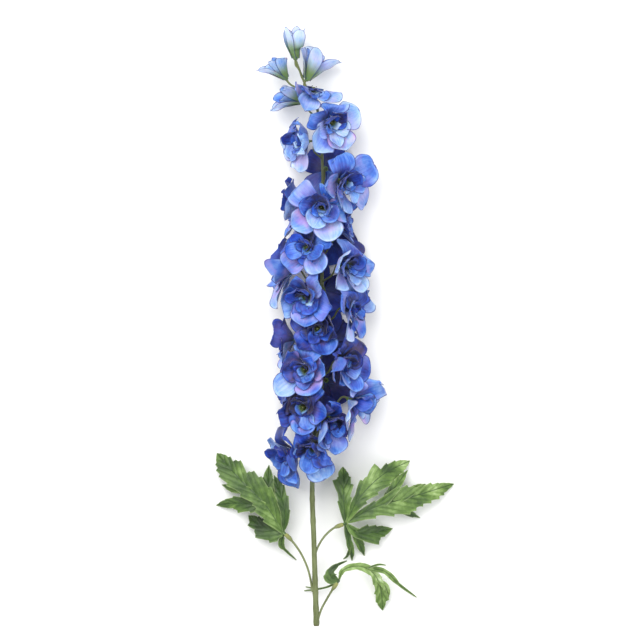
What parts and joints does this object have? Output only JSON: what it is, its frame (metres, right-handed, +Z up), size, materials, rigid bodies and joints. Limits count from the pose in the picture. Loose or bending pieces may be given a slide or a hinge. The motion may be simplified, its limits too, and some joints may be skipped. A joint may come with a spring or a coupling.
{
  "type": "delphinium flower spike",
  "caption": "Single cut delphinium stem: a tall spike of open blue florets, pale half-closed buds at its tip and deeply cut green leaves below, laid down on a surface.",
  "frame": {"origin": "on the surface that the spike lies on, under the middle of its bounding box", "axes": "+Y along the spike from its cut end to its tip, +Z up from the surface, +X to the right as seen from above"},
  "size_m": [0.2872, 0.7207, 0.1041],
  "materials": {
    "stem_green": "satin",
    "leaf_green": "satin",
    "petal_blue": "matte",
    "petal_pale": "matte"
  },
  "bodies": {
    "root": {"stem": "stem_green", "bud_top": "petal_pale", "bud_left": "petal_pale", "bud_right": "petal_pale", "bloom_01": "petal_pale", "bloom_02": "petal_blue", "bloom_03": "petal_blue", "bloom_04": "petal_blue", "bloom_05": "petal_blue", "bloom_06": "petal_blue", "bloom_07": "petal_blue", "bloom_08": "petal_blue", "bloom_09": "petal_blue", "bloom_10": "petal_blue", "bloom_11": "petal_blue", "bloom_12": "petal_blue", "bloom_13": "petal_blue", "bloom_14": "petal_blue", "bloom_15": "petal_blue", "bloom_16": "petal_blue", "bloom_17": "petal_blue", "bloom_18": "petal_blue", "bloom_19": "petal_blue", "bloom_20": "petal_blue", "bloom_21": "petal_blue", "bloom_22": "petal_blue", "bloom_23": "petal_blue", "bloom_24": "petal_blue", "bloom_25": "petal_blue", "bloom_26": "petal_blue", "bloom_27": "petal_blue", "bloom_28": "petal_blue", "bloom_29": "petal_blue", "leaf_left": "leaf_green", "leaf_right": "leaf_green", "leaf_low": "leaf_green"}
  },
  "joints": []
}
